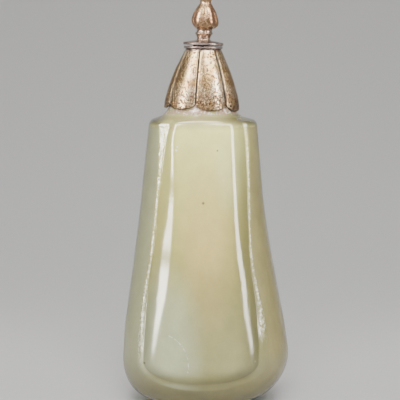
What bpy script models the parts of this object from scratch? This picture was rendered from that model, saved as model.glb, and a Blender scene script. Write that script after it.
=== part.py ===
"""Carved jade perfume bottle with a petal mount and a lift-off stopper.

The bottle stands on a small flat foot, with its front towards -Y.  Its jade body swells from
sloping shoulders down to a low belly.  Front and back each carry a raised, tongue-shaped panel
with a pillowed face.  A V groove runs down both sides of the panel and round under it, and a
narrow chamfer climbs from the groove to the plain oval wall.  A mount of seven petals, in
silver-gilt, hugs the jade neck, and the stopper rests on its collar: a flanged disc, a short
baluster, a bud of six lobes and a small knop.  Mount and stopper lean a little to +X.

All sizes below are in millimetres and are turned into metres when a mesh is made.
"""

from bisect import bisect_right
from math import asin, atan2, cos, exp, hypot, log, pi, radians, sin, tan

import bmesh
import bpy
from mathutils import Matrix, Vector

MM = 0.001
GAP = 0.3                      # clearance left between pieces that touch

# Jade body: heights are above the foot, half widths run out from the middle line
BELLY = 13.0                   # height of the widest place
FOOT_HALF_WIDTH = 11.2
FLANK = ((BELLY, 23.15), (20.0, 22.6), (27.0, 21.55), (40.4, 19.42), (54.0, 17.52),
         (67.4, 16.2), (79.0, 15.05))          # (height, half width)
SWAY = ((0.0, -0.3), (4.0, 0.0), (BELLY, 0.8), (20.0, 0.6), (34.0, 0.2), (54.0, -0.2),
        (67.0, -0.15), (79.0, 0.0))            # how far the hand-cut oval leans to +X
TWIST = ((0.0, -4.0), (28.0, -4.0), (43.0, -2.8), (57.0, -0.8), (70.0, 0.8), (79.0, 2.0))
BELLY_DEPTH = 0.853            # depth over width, at the belly and below
SHOULDER_DEPTH = 0.95          # depth over width, at the shoulder
FOOT_CORNER = radians(58.0)    # where the rim passes from the flank to the foot
SQUARENESS = 2.4               # exponent of the oval section, 2 for a plain ellipse

# Shoulder and neck
SHOULDER = ((9.9, 81.1), (10.4, 80.5), (11.2, 79.9), (12.6, 79.45), (13.9, 79.08),
            (15.1, 78.65))      # (distance from the axis, height), hollow beside the neck
EDGE_ROUND = 0.9               # how far the shoulder edge is rounded over
NECK = ((81.7, 9.5), (83.5, 9.2), (86.5, 8.6), (89.0, 7.95), (91.5, 7.1), (93.8, 6.15),
        (95.6, 5.25))          # (height, radius) of the neck under the petals
BORE_RADIUS = 3.3
WALL = 4.3
FLOOR = 5.5
CHAMBER_TOP = 76.0
CHAMBER_SIDE_TOP = 66.0        # the dome of the chamber springs here
CHAMBER_SIDE_FOOT = 15.0       # and its rounded floor here
CHAMBER_SHIFT = 0.3            # of the chamber to +X
BORE_OVERLAP = 4.0             # the bore runs on this far into the chamber

# Raised panels
PANEL_RISE = 0.5               # face of the panel beyond the oval
PANEL_CROWN = 0.3              # share of the panel's fall that is a gentle crown
PANEL_SHOULDER = {-1: ((BELLY, 1.02), (18.0, 1.01), (22.0, 0.98), (27.0, 0.9), (32.0, 0.77),
                       (38.0, 0.63), (43.0, 0.61), (56.0, 0.66), (63.0, 0.74), (70.0, 0.85),
                       (75.0, 1.02)),
                  1: ((BELLY, 1.04), (22.0, 1.03), (27.0, 0.99), (32.0, 0.95), (38.0, 0.87),
                      (43.0, 0.8), (49.0, 0.76), (60.0, 0.725), (79.0, 0.7))}
                               # (height, share of the half width where it turns down)
PANEL_SHOULDER_UNDER = 0.55    # the same at the foot of the panel
PANEL_SOFTNESS = ((BELLY, 0.085), (20.0, 0.11), (27.0, 0.15), (33.0, 0.15), (40.0, 0.1),
                  (47.0, 0.07), (56.0, 0.06), (79.0, 0.055))
                               # (height, how softly it turns at the sides)
PANEL_SOFTNESS_UNDER = 0.13    # how softly it turns at the foot
PANEL_SIDE = {-1: ((BELLY, 15.3), (18.0, 15.2), (30.0, 14.5), (43.0, 13.0), (57.5, 11.95),
                   (71.0, 10.75), (75.5, 10.0), (79.0, 9.25)),
              1: ((BELLY, 16.3), (18.0, 16.4), (24.0, 16.1), (30.0, 15.45), (43.0, 13.4),
                  (57.5, 12.45), (71.0, 11.6), (79.0, 10.6))}
                               # (height, half width) at the groove
PANEL_FOOT = 6.7               # height of the groove under the panel
CHAMFER = {-1: ((BELLY, 2.1), (18.0, 2.2), (30.0, 1.75), (44.0, 1.2), (64.0, 1.3), (71.0, 1.8),
                (79.0, 3.35)),
           1: ((BELLY, 2.9), (20.5, 2.7), (26.0, 2.1), (30.0, 1.65), (44.0, 1.0), (57.0, 1.0),
               (79.0, 1.2))}   # (height, width) of the chamfers
CHAMFER_UNDER = 2.0            # width of the chamfer under the panel
CHAMFER_FACING = {-1: ((8.0, 49.0), (12.0, 46.0), (16.0, 42.0), (20.0, 37.5), (24.0, 34.0),
                       (30.0, 30.5), (36.0, 30.0)),
                  1: ((8.0, 49.0), (14.0, 47.0), (18.0, 44.5), (21.0, 40.0), (24.0, 35.0),
                      (28.0, 31.0), (34.0, 30.0))}
                               # (height, degrees that the chamfer faces away from the front)
GROOVE_UNDER = 0.6             # depth of the groove under the panel

# Mount and stopper lean about a point on the neck
LEAN = radians(1.1)
LEAN_PIVOT = Vector((-0.22, 0.0, 83.5))

# Petal mount
PETALS = 7
FIRST_SLIT = radians(-11.0)    # turned from the front towards +X
BELL = ((81.5, 10.62), (83.2, 10.55), (84.3, 10.4), (86.5, 9.88), (88.7, 9.22), (91.0, 8.43),
        (93.2, 7.52), (95.4, 6.45), (98.2, 5.1))       # (height, radius) of the petals' crowns
PETAL_TIP = 81.75
PETAL_NOTCH = 83.9
PETAL_SLANT = 0.22             # how much lower the petals end at +X than at the middle
PETAL_THICKNESS = 0.75
PETAL_BULGE = 0.045            # how far a petal's sides fall back, as a share of the radius
PETAL_BULGE_POWER = 2.4        # flat crown, quick fall at the sides
PETAL_END_POWER = 2.2          # of the round end of a petal, 2 for a half ellipse
PETAL_SWELL = 6.0              # length over which the petals grow out of the collar
SLIT_HALF_ANGLE = radians(1.6)
SLIT_DEPTH = 0.4
RING_ROUND = 0.15              # bevel on the edges of collar and flange
COLLAR_RADIUS = 5.42
COLLAR_TOP = 99.3
COLLAR_FOOT = 98.7
COLLAR_WAIST = (98.45, 4.95)   # (height, radius) of the groove under the collar
COLLAR_UNDERSIDE = 95.95

# Stopper, (height, radius) down from the knop to the flange
KNOP = ((115.4, 0.0), (115.3, 0.55), (114.95, 1.2), (114.3, 1.85), (113.3, 2.15), (112.6, 1.98),
        (112.1, 1.7), (111.6, 1.5))
BUD = ((111.0, 1.75), (110.0, 2.44), (108.8, 3.08), (107.7, 3.5), (106.9, 3.73), (106.1, 3.78),
       (105.5, 3.68), (104.85, 3.34), (104.3, 2.75))
BALUSTER = ((103.8, 2.16), (103.25, 2.2), (102.85, 2.5), (102.35, 2.15), (101.6, 1.85),
            (101.15, 1.9))
STEM_BEND = ((100.3, 0.0), (102.8, 0.12), (103.9, 0.31), (105.0, 0.5), (106.0, 0.37),
             (107.0, 0.31), (110.0, 0.37), (115.4, 0.5))       # (height, shift to +X)
FLANGE_RADIUS = 5.62
FLANGE_TOP = 100.3
FLANGE_TILT = 0.015            # fall to +X of the disc that sits a little askew
FLANGE_SLOPE = ((0.6, 2.3), (0.42, 3.5), (0.16, 4.8))  # (above the rim, radius)
FLANGE_FOOT = COLLAR_TOP + GAP
PLUG_RADIUS = 2.85
PLUG_ROUND = 0.3
PLUG_FOOT = 96.9
LOBES = 6
FIRST_LOBE = radians(26.0)     # middle of one lobe, turned from the front towards +X
LOBE_DEPTH = ((104.3, 0.0), (105.4, 0.09), (106.6, 0.13), (108.8, 0.11), (111.0, 0.0))
LOBE_POWER = 3                 # broad lobes with narrow valleys

# Fineness of the faceted solids
PANEL_SHARES = (0.0, 0.35, 0.6, 0.72, 0.82, 0.91, 1.0)
WALL_STEPS = 6
SLOPE_SHARES = (0.55, 0.28, 0.1, 0.0)
ROWS_DOWN = 13
ROW_CROWDING = 1.1             # rows lie a little closer near the shoulder
ROWS_ROUND = 11
ROUND_STEPS = 2
PETAL_STEPS = (-0.995, -0.7, -0.35, 0.0, 0.35, 0.7, 0.995)
PETAL_ROWS = 7
STOPPER_STEPS = 36


def along(stations, at):
    """Value of the smooth curve through (place, value) stations, which rise in place."""
    places = [place for place, _ in stations]
    values = [value for _, value in stations]
    last = len(stations) - 1
    if at <= places[0]:
        return values[0]
    if at >= places[last]:
        return values[last]

    def slope(index):
        before = max(index - 1, 0)
        after = min(index + 1, last)
        return (values[after] - values[before]) / (places[after] - places[before])

    start = bisect_right(places, at) - 1
    span = places[start + 1] - places[start]
    t = (at - places[start]) / span
    first_slope = 0.0 if start == 0 else slope(start)
    return ((2 * t ** 3 - 3 * t ** 2 + 1) * values[start]
            + (t ** 3 - 2 * t ** 2 + t) * span * first_slope
            + (3 * t ** 2 - 2 * t ** 3) * values[start + 1]
            + (t ** 3 - t ** 2) * span * slope(start + 1))


def mix(first, second, share):
    """Number or vector part of the way from first to second."""
    return first * (1 - share) + second * share


class Skin:
    """Mesh built strip by strip; points that fall together share one vertex."""

    def __init__(self):
        self.bm = bmesh.new()
        self.corners = {}

    def corner(self, point):
        key = tuple(round(value, 4) for value in point)
        if key not in self.corners:
            self.corners[key] = self.bm.verts.new(Vector(point) * MM)
        return self.corners[key]

    def face(self, points):
        corners = list(dict.fromkeys(self.corner(point) for point in points))
        if len(corners) > 2:
            self.bm.faces.new(corners)

    def strips(self, lines, closed=False):
        """Faces between each line of points and the next one."""
        pairs = list(zip(lines, lines[1:]))
        if closed:
            pairs.append((lines[-1], lines[0]))
        for here, there in pairs:
            for k in range(len(here) - 1):
                self.face((here[k], here[k + 1], there[k + 1], there[k]))

    def finish(self, name):
        """Close the open ends, point the faces outwards and make the mesh."""
        bmesh.ops.holes_fill(self.bm, edges=self.bm.edges, sides=0)
        bmesh.ops.recalc_face_normals(self.bm, faces=self.bm.faces)
        mesh = bpy.data.meshes.new(name)
        self.bm.to_mesh(mesh)
        self.bm.free()
        return mesh


# ---------------------------------------------------------------- jade body

def height_at(drop):
    """Height for a distance down the flank, which is 0 at the belly and negative above it."""
    return BELLY - drop if drop < 0 else BELLY * (1 - sin(drop / BELLY))


def drop_at(height):
    return BELLY - height if height >= BELLY else BELLY * asin(1 - height / BELLY)


LAST_DROP = BELLY * pi / 2     # the edge of the foot


def half_width(drop, side):
    """Half width of the oval on one side, -1 or 1, of the middle line."""
    if drop < 0:
        width = along(FLANK, height_at(drop))
    else:
        width = mix(FOOT_HALF_WIDTH, FLANK[0][1], cos(drop / BELLY))
    return width + side * along(SWAY, height_at(drop))


def half_depth(drop):
    share = min(max((height_at(drop) - BELLY) / (SHOULDER[-1][1] - BELLY), 0.0), 1.0)
    ratio = mix(BELLY_DEPTH, SHOULDER_DEPTH, share * share * (3 - 2 * share))
    return ratio * 0.5 * (half_width(drop, -1) + half_width(drop, 1))


def oval_depth(x, drop):
    """How far the plain oval lies in front of the middle plane at x."""
    side = 1 if x > 0 else -1
    share = min(abs(x) / half_width(drop, side), 1.0)
    return half_depth(drop) * (1 - share ** SQUARENESS) ** (1 / SQUARENESS)


def wall_point(turn, drop, side):
    """Point of the oval wall: turn is 0 at the front and a right angle at the flank."""
    x = side * half_width(drop, side) * abs(sin(turn)) ** (2 / SQUARENESS)
    depth = half_depth(drop) * abs(cos(turn)) ** (2 / SQUARENESS)
    return Vector((x, -depth, height_at(drop)))


def turn_of(x, drop, side):
    return asin(min(abs(x) / half_width(drop, side), 1.0) ** (SQUARENESS / 2))


def panel_face(height):
    return half_depth(drop_at(height)) + PANEL_RISE


def groove_depth(x, ridge_x, height, side):
    """Depth of the groove's bottom, from a chamfer that faces a set way."""
    ridge = oval_depth(ridge_x, drop_at(height))
    facing = along(CHAMFER_FACING[side], height) - side * along(TWIST, height)
    return ridge + tan(radians(facing)) * abs(ridge_x - x)


def panel_fall(share, shoulder, softness):
    """How far the panel has fallen, 0 to 1, between its middle and the groove."""
    def turned(at):
        return softness * log(1 + exp((at - shoulder) / softness))

    bent = (turned(share) - turned(0.0)) / (turned(1.0) - turned(0.0))
    return mix(bent, share * share, PANEL_CROWN)


def panel_points(middle, groove, shoulder, softness):
    """Points over the panel from its middle to the bottom of the groove."""
    points = []
    for share in PANEL_SHARES:
        point = mix(middle, groove, share)
        point.y = mix(middle.y, groove.y, panel_fall(share, shoulder, softness))
        points.append(point)
    return points


def wall_points(ridge_x, ridge_height, rim_turn, rim_drop, side):
    """Points over the plain wall from the ridge to the rim."""
    points = []
    ridge_drop = drop_at(ridge_height)
    ridge_turn = turn_of(ridge_x, ridge_drop, side)
    for step in range(WALL_STEPS + 1):
        share = step / WALL_STEPS
        turn = mix(ridge_turn, rim_turn, share)
        points.append(wall_point(turn, mix(ridge_drop, rim_drop, share), side))
    return points


def line_at(height, side):
    """Level line of points above the belly."""
    groove_x = side * along(PANEL_SIDE[side], height)
    ridge_x = groove_x + side * along(CHAMFER[side], height)
    middle = Vector((0.0, -panel_face(height), height))
    groove = Vector((groove_x, -groove_depth(groove_x, ridge_x, height, side), height))
    shoulder = along(PANEL_SHOULDER[side], height)
    softness = along(PANEL_SOFTNESS, height)
    return (panel_points(middle, groove, shoulder, softness)
            + wall_points(ridge_x, height, pi / 2, drop_at(height), side))


def line_round(angle, side):
    """Line that fans out round the foot of the panel: 0 is level, a right angle is down."""
    groove_width = PANEL_SIDE[side][0][1]
    groove_drop = BELLY - PANEL_FOOT
    ridge_width = groove_width + CHAMFER[side][0][1]
    ridge_drop = groove_drop + CHAMFER_UNDER
    middle = Vector((0.0, -panel_face(BELLY), BELLY))
    groove_x = side * groove_width * cos(angle)
    height = BELLY - groove_drop * sin(angle)
    beside = groove_depth(groove_x, side * ridge_width * cos(angle), height, side)
    under = oval_depth(groove_x, drop_at(height)) - GROOVE_UNDER
    groove = Vector((groove_x, -mix(beside, under, sin(angle) ** 2), height))
    if angle <= FOOT_CORNER:
        rim_turn = pi / 2
        rim_drop = LAST_DROP * angle / FOOT_CORNER
    else:
        rim_turn = pi / 2 * (pi / 2 - angle) / (pi / 2 - FOOT_CORNER)
        rim_drop = LAST_DROP
    below = sin(angle) ** 2
    shoulder = mix(PANEL_SHOULDER[side][0][1], PANEL_SHOULDER_UNDER, below)
    softness = mix(PANEL_SOFTNESS[0][1], PANEL_SOFTNESS_UNDER, below)
    return (panel_points(middle, groove, shoulder, softness)
            + wall_points(ridge_width * cos(angle), BELLY - ridge_drop * sin(angle),
                          rim_turn, rim_drop, side))


def edge_line(side):
    """Points where the walls meet the shoulder, from the panel's middle to the flank."""
    heights = [SHOULDER[-1][1]] * (len(PANEL_SHARES) + WALL_STEPS + 1)
    for _ in range(3):
        line = [line_at(height, side)[k] for k, height in enumerate(heights)]
        heights = [along(SHOULDER, hypot(point.x, point.y)) for point in line]
    return line


def column_lines(side):
    """All lines of one quarter, from the shoulder edge down and round to under the panel."""
    edge = edge_line(side)
    lines = []
    for row in range(ROWS_DOWN + 1):
        share = (row / ROWS_DOWN) ** ROW_CROWDING
        line = []
        for k, top in enumerate(edge):
            start = top.z - EDGE_ROUND
            line.append(line_at(mix(start, BELLY, share), side)[k])
        lines.append(line)
    for step in range(1, ROWS_ROUND + 1):
        lines.append(line_round(pi / 2 * step / ROWS_ROUND, side))
    return edge, lines


def twisted(point, flip):
    """Turn a point about the axis with the slow twist, or take it to the back when flip is -1."""
    turned = Vector((point.x, flip * point.y, point.z))
    return Matrix.Rotation(radians(along(TWIST, point.z)), 3, 'Z') @ turned


def leaning(point):
    """Tip a point with the lean of the neck, the mount and the stopper."""
    return Matrix.Rotation(LEAN, 3, 'Y') @ (Vector(point) - LEAN_PIVOT) + LEAN_PIVOT


def bent(point):
    """Shift a point of the stopper with its bent stem and its tilted disc."""
    fall = FLANGE_TILT * (point.x - LEAN_PIVOT.x) if point.z >= FLANGE_FOOT else 0.0
    return point + Vector((along(STEM_BEND, point.z), 0.0, -fall))


def neck_point(radius, height, angle):
    level = Vector((radius * cos(angle) + LEAN_PIVOT.x, radius * sin(angle), height))
    return leaning(level)


def shoulder_column(wall, edge):
    """Points from the wall over the rounded edge, up the shoulder and along the neck."""
    angle = atan2(edge.y, edge.x - LEAN_PIVOT.x)
    neck_reach, neck_foot = SHOULDER[0]
    edge_reach = hypot(edge.x, edge.y)
    foot = neck_point(neck_reach, neck_foot, angle)
    reach = hypot(edge.x - foot.x, edge.y - foot.y)

    def slope_point(share):
        point = mix(foot, edge, share)
        point.z = along(SHOULDER, mix(neck_reach, edge_reach, share))
        point.z += (foot.z - neck_foot) * (1 - share)
        return point

    inner = slope_point(1 - EDGE_ROUND / reach)
    points = []
    for step in range(ROUND_STEPS + 1):
        share = step / ROUND_STEPS
        points.append(mix(mix(wall, edge, share), mix(edge, inner, share), share))
    for share in SLOPE_SHARES:
        points.append(slope_point(share * (1 - EDGE_ROUND / reach)))
    points += [neck_point(radius, height, angle) for height, radius in NECK]
    return points


def body_mesh():
    skin = Skin()
    for flip in (1, -1):
        for side in (-1, 1):
            edge, lines = column_lines(side)
            skin.strips([[twisted(point, flip) for point in line] for line in lines])
            skin.strips([shoulder_column(twisted(wall, flip), twisted(top, flip))
                         for wall, top in zip(lines[0], edge)])
    return skin.finish("jade_body")


def turned_object(name, profile, steps, collection):
    """Object turned about Z from an outer profile that runs from top to bottom."""
    mesh = bpy.data.meshes.new(name)
    points = [Vector((radius, 0.0, height)) * MM for radius, height in profile]
    mesh.from_pydata(points, [(k, k + 1) for k in range(len(points) - 1)], [])
    turned = bpy.data.objects.new(name, mesh)
    collection.objects.link(turned)
    screw = turned.modifiers.new("turn", 'SCREW')
    screw.steps = steps
    screw.render_steps = steps
    screw.use_merge_vertices = True
    screw.merge_threshold = 0.00001
    return turned


def chamber_profile():
    """Half outline of the hollow: a dome, sloping sides and a rounded floor."""
    profile = []
    top_radius = along(FLANK, CHAMBER_SIDE_TOP) - WALL
    foot_radius = along(FLANK, CHAMBER_SIDE_FOOT) - WALL
    for step in range(6):
        angle = pi / 2 * step / 6
        profile.append((top_radius * sin(angle),
                        mix(CHAMBER_SIDE_TOP, CHAMBER_TOP, cos(angle))))
    for step in range(6):
        height = mix(CHAMBER_SIDE_TOP, CHAMBER_SIDE_FOOT, step / 6)
        profile.append((along(FLANK, height) - WALL, height))
    for step in range(7):
        angle = pi / 2 * step / 6
        profile.append((foot_radius * cos(angle),
                        mix(CHAMBER_SIDE_FOOT, FLOOR, sin(angle))))
    return profile


def jade_body(parts, cutters):
    body = bpy.data.objects.new("jade_body", body_mesh())
    parts.objects.link(body)
    chamber = turned_object("chamber_cutter", chamber_profile(), 32, cutters)
    chamber.scale.y = BELLY_DEPTH
    chamber.location.x = CHAMBER_SHIFT * MM
    above = COLLAR_TOP
    inside = CHAMBER_TOP - BORE_OVERLAP
    bore = turned_object("bore_cutter", ((0.0, above), (BORE_RADIUS, above),
                                         (BORE_RADIUS, inside), (0.0, inside)), 24, cutters)
    for cutter in (chamber, bore):
        cutter.hide_render = True
        cutter.display_type = 'WIRE'
        cut = body.modifiers.new("cut " + cutter.name, 'BOOLEAN')
        cut.operation = 'DIFFERENCE'
        cut.solver = 'EXACT'
        cut.object = cutter
    return body


# -------------------------------------------------------------- petal mount

def petal_column(angle, across_petal):
    """Outline of the mount at one angle: inside up, over the collar, and down the petals."""
    edge_share = (1 - abs(across_petal) ** PETAL_END_POWER) ** (1 / PETAL_END_POWER)
    foot = mix(PETAL_NOTCH, PETAL_TIP, edge_share) - PETAL_SLANT * sin(angle)
    top = BELL[-1][0]
    fall = PETAL_BULGE * abs(across_petal) ** PETAL_BULGE_POWER
    slit = SLIT_DEPTH if abs(across_petal) == 1.0 else 0.0
    outline = []
    for row in range(PETAL_ROWS + 1):
        height = mix(foot, COLLAR_UNDERSIDE, row / PETAL_ROWS)
        outline.append((height, along(BELL, height) - PETAL_THICKNESS))
    outline += [(COLLAR_UNDERSIDE, BORE_RADIUS), (COLLAR_TOP, BORE_RADIUS),
                (COLLAR_TOP, COLLAR_RADIUS - RING_ROUND),
                (COLLAR_TOP - RING_ROUND, COLLAR_RADIUS),
                (COLLAR_FOOT + RING_ROUND, COLLAR_RADIUS),
                (COLLAR_FOOT, COLLAR_RADIUS - RING_ROUND),
                COLLAR_WAIST]
    for row in range(PETAL_ROWS + 1):
        height = mix(top, foot, row / PETAL_ROWS)
        swell = min((top - height) / PETAL_SWELL, 1.0)
        radius = along(BELL, height) * (1 - fall * swell) - slit * min(1.0, 0.5 + swell)
        outline.append((height, radius))
    outline.append(outline[0])
    direction = angle - pi / 2
    return [leaning((radius * cos(direction) + LEAN_PIVOT.x, radius * sin(direction), height))
            for height, radius in outline]


def petal_mount(parts, _cutters):
    skin = Skin()
    columns = []
    half = pi / PETALS
    for petal in range(PETALS):
        middle = FIRST_SLIT + half * (2 * petal + 1)
        inner = half - SLIT_HALF_ANGLE
        for share in PETAL_STEPS:
            columns.append(petal_column(middle + share * inner, share))
        columns.append(petal_column(middle + half, 1.0))
    skin.strips(columns, closed=True)
    mount = bpy.data.objects.new("petal_mount", skin.finish("petal_mount"))
    parts.objects.link(mount)
    return mount


# ------------------------------------------------------------------ stopper

def stopper(parts, _cutters):
    """Knop, bud, baluster, flange and plug in one piece."""
    slope = tuple((FLANGE_TOP + rise, radius) for rise, radius in FLANGE_SLOPE)
    flange = ((FLANGE_TOP, FLANGE_RADIUS - RING_ROUND), (FLANGE_TOP - RING_ROUND, FLANGE_RADIUS),
              (FLANGE_FOOT + RING_ROUND, FLANGE_RADIUS), (FLANGE_FOOT, FLANGE_RADIUS - RING_ROUND),
              (FLANGE_FOOT, PLUG_RADIUS), (PLUG_FOOT + PLUG_ROUND, PLUG_RADIUS),
              (PLUG_FOOT, PLUG_RADIUS - PLUG_ROUND), (PLUG_FOOT, 0.0))
    skin = Skin()
    columns = []
    for step in range(STOPPER_STEPS):
        turn = 2 * pi * step / STOPPER_STEPS
        lobe = abs(sin(LOBES / 2 * (turn - FIRST_LOBE)))
        direction = turn - pi / 2
        column = []
        for height, radius in KNOP + BUD + BALUSTER + slope + flange:
            lobed = radius * (1 - along(LOBE_DEPTH, height) * lobe ** LOBE_POWER)
            level = Vector((lobed * cos(direction) + LEAN_PIVOT.x, lobed * sin(direction), height))
            column.append(leaning(bent(level)))
        columns.append(column)
    skin.strips(columns, closed=True)
    piece = bpy.data.objects.new("stopper", skin.finish("stopper"))
    parts.objects.link(piece)
    return piece


# ---------------------------------------------------------------- materials

def material(name, colour, roughness, metallic):
    made = bpy.data.materials.new(name)
    made.use_nodes = True
    shader = made.node_tree.nodes["Principled BSDF"]
    shader.inputs["Base Color"].default_value = (*colour, 1.0)
    shader.inputs["Roughness"].default_value = roughness
    shader.inputs["Metallic"].default_value = metallic
    return made


def dress(piece, finish, sharp_above):
    """Give a piece its finish, smooth except over its sharper edges."""
    mesh = piece.data
    mesh.materials.append(finish)
    mesh.shade_smooth()
    mesh.set_sharp_from_angle(angle=radians(sharp_above))


def main():
    for old in list(bpy.data.objects):
        bpy.data.objects.remove(old)
    parts = bpy.data.collections.new("perfume_bottle")
    cutters = bpy.data.collections.new("cutters")
    for collection in (parts, cutters):
        bpy.context.scene.collection.children.link(collection)
    jade = material("celadon_jade", (0.55, 0.53, 0.39), 0.15, 0.0)
    gilt = material("worn_silver_gilt", (0.62, 0.48, 0.36), 0.32, 1.0)
    dress(jade_body(parts, cutters), jade, 17)
    dress(petal_mount(parts, cutters), gilt, 40)
    dress(stopper(parts, cutters), gilt, 40)


main()
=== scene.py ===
"""Looks of the carved jade perfume bottle: polished jade, worn silver-gilt mount and stopper.

The jade body, the petal mount and the stopper are modelled again, finer than the solids they
stand for, in the same places. The bottle's own lengths are millimetres, and become metres as
its points are laid; the floor, the lamps and the camera are placed in metres.
"""

from bisect import bisect_right
from math import asin, atan2, cos, exp, hypot, log, pi, radians, sin, tan

import bpy
from mathutils import Matrix, Vector, noise


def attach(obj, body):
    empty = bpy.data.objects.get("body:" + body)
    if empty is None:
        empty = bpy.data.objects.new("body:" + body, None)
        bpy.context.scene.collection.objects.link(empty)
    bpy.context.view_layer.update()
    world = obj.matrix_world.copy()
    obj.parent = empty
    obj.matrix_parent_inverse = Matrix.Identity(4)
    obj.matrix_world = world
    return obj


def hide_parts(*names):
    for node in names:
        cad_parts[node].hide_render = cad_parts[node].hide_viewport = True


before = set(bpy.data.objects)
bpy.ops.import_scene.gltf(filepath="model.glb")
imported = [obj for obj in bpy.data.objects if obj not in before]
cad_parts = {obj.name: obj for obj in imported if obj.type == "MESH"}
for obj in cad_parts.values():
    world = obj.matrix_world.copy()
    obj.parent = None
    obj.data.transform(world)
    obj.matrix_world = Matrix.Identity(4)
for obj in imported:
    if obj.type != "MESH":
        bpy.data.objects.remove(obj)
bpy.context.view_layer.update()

MM = 0.001

# ---------------------------------------------------------------- sizes of the bottle
# Stations are (height, size) pairs that along() joins by a smooth curve. Where the two sides
# differ, -1 is the left side and 1 the right one. The panel and its chamfers fan out round
# the panel's foot below the belly, where names end in UNDER.

# The stone: half width of its flanks, how far it sways aside, and its twist in degrees
BELLY = 13.0
LAST_DROP = BELLY * pi / 2
FOOT_HALF_WIDTH = 11.2
FLANK = ((BELLY, 23.15), (20.0, 22.6), (27.0, 21.55), (40.4, 19.42), (54.0, 17.52),
         (67.4, 16.2), (79.0, 15.05))
SWAY = ((0.0, -0.3), (4.0, 0.0), (BELLY, 0.8), (20.0, 0.6), (34.0, 0.2), (54.0, -0.2),
        (67.0, -0.15), (79.0, 0.0))
TWIST = ((0.0, -4.0), (28.0, -4.0), (43.0, -2.8), (57.0, -0.8), (70.0, 0.8), (79.0, 2.0))
BELLY_DEPTH = 0.853
SHOULDER_DEPTH = 0.95
SQUARENESS = 2.4

# Shoulder as (reach, height), neck as (height, radius), and the hollow
SHOULDER = ((9.9, 81.1), (10.4, 80.5), (11.2, 79.9), (12.6, 79.45), (13.9, 79.08),
            (15.1, 78.65))
EDGE_ROUND = 1.4
NECK = ((81.7, 9.5), (83.5, 9.2), (86.5, 8.6), (89.0, 7.95), (91.5, 7.1), (93.8, 6.15),
        (95.6, 5.25))
NECK_CURVE = ((SHOULDER[0][1], SHOULDER[0][0]), *NECK)
BORE_RADIUS = 3.3
WALL = 4.3
FLOOR = 5.5
CHAMBER_TOP = 76.0
CHAMBER_SIDE_TOP = 66.0
CHAMBER_SIDE_FOOT = BELLY + 2.0
CHAMBER_DOME = 4.0
CHAMBER_SHIFT = 0.3

# The panel: where its face turns down and how softly, as shares of the way to the groove, and
# its half width. The chamfer beside it: width, crown as a share of that, and facing in degrees
PANEL_RISE = 0.5
PANEL_CROWN = 0.3
PANEL_SHOULDER = {-1: ((BELLY, 1.02), (18.0, 1.01), (22.0, 0.98), (27.0, 0.9), (32.0, 0.77),
                       (38.0, 0.63), (43.0, 0.61), (56.0, 0.66), (63.0, 0.74), (70.0, 0.85),
                       (75.0, 1.02)),
                  1: ((BELLY, 1.04), (22.0, 1.03), (27.0, 0.99), (32.0, 0.95), (38.0, 0.87),
                      (43.0, 0.8), (49.0, 0.76), (60.0, 0.725), (79.0, 0.7))}
PANEL_SHOULDER_UNDER = 0.55
PANEL_SOFTNESS = {-1: ((BELLY, 0.085), (20.0, 0.105), (27.0, 0.14), (33.0, 0.15),
                       (40.0, 0.1), (47.0, 0.07), (56.0, 0.06), (79.0, 0.055)),
                  1: ((BELLY, 0.075), (20.0, 0.09), (27.0, 0.11), (33.0, 0.12),
                      (40.0, 0.1), (47.0, 0.07), (56.0, 0.06), (79.0, 0.055))}
PANEL_SOFTNESS_UNDER = 0.13
PANEL_SIDE = {-1: ((BELLY, 15.3), (18.0, 15.2), (30.0, 14.5), (43.0, 13.0), (57.5, 11.95),
                   (71.0, 10.75), (75.5, 10.0), (79.0, 9.25)),
              1: ((BELLY, 16.3), (18.0, 16.4), (24.0, 16.1), (30.0, 15.45), (43.0, 13.4),
                  (57.5, 12.45), (71.0, 11.6), (79.0, 10.6))}
PANEL_FOOT = 6.7
CHAMFER = {-1: ((BELLY, 2.1), (18.0, 2.2), (30.0, 1.75), (44.0, 1.2), (64.0, 1.3), (71.0, 1.8),
                (79.0, 3.35)),
           1: ((BELLY, 2.9), (20.5, 2.7), (26.0, 2.1), (30.0, 1.65), (44.0, 1.0), (57.0, 1.0),
               (79.0, 1.2))}
CHAMFER_CROWN = {-1: ((18.0, 0.065), (30.0, 0.065), (42.0, 0.0)),
                 1: ((16.0, 0.0), (24.0, 0.06), (30.0, 0.065), (42.0, 0.0))}
CHAMFER_UNDER = 2.0
CHAMFER_FACING = {-1: ((8.0, 49.0), (12.0, 46.0), (16.0, 42.0), (20.0, 37.5), (24.0, 34.0),
                       (30.0, 30.5), (36.0, 30.0)),
                  1: ((8.0, 49.0), (14.0, 47.0), (18.0, 44.5), (21.0, 40.0), (24.0, 35.0),
                      (28.0, 31.0), (34.0, 30.0))}
GROOVE_UNDER = 0.6
GROOVE_ROUND = 0.22
RIDGE_ROUND = 0.24

# Hand work: waves in the polish, and chips as (across, height, size, depth)
WAVE_LENGTH = 7.0
WAVE_DEPTH = 0.05
WAVE_FADE = (0.5, 4.0)
CHIPS = ((-1.7, 77.7, 0.5, 0.12), (1.2, 78.0, 0.35, 0.08), (-8.6, 77.3, 0.5, 0.15),
         (4.8, 77.9, 0.3, 0.06), (-12.2, 30.0, 0.5, 0.06), (16.2, 36.0, 0.5, 0.08),
         (13.2, 57.0, 0.4, 0.08), (-13.4, 61.0, 0.4, 0.08), (18.0, 19.5, 0.5, 0.1))

# The neck, the mount and the stopper lean together
LEAN = radians(1.1)
LEAN_PIVOT = Vector((-0.22, 0.0, 83.5))

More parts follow.
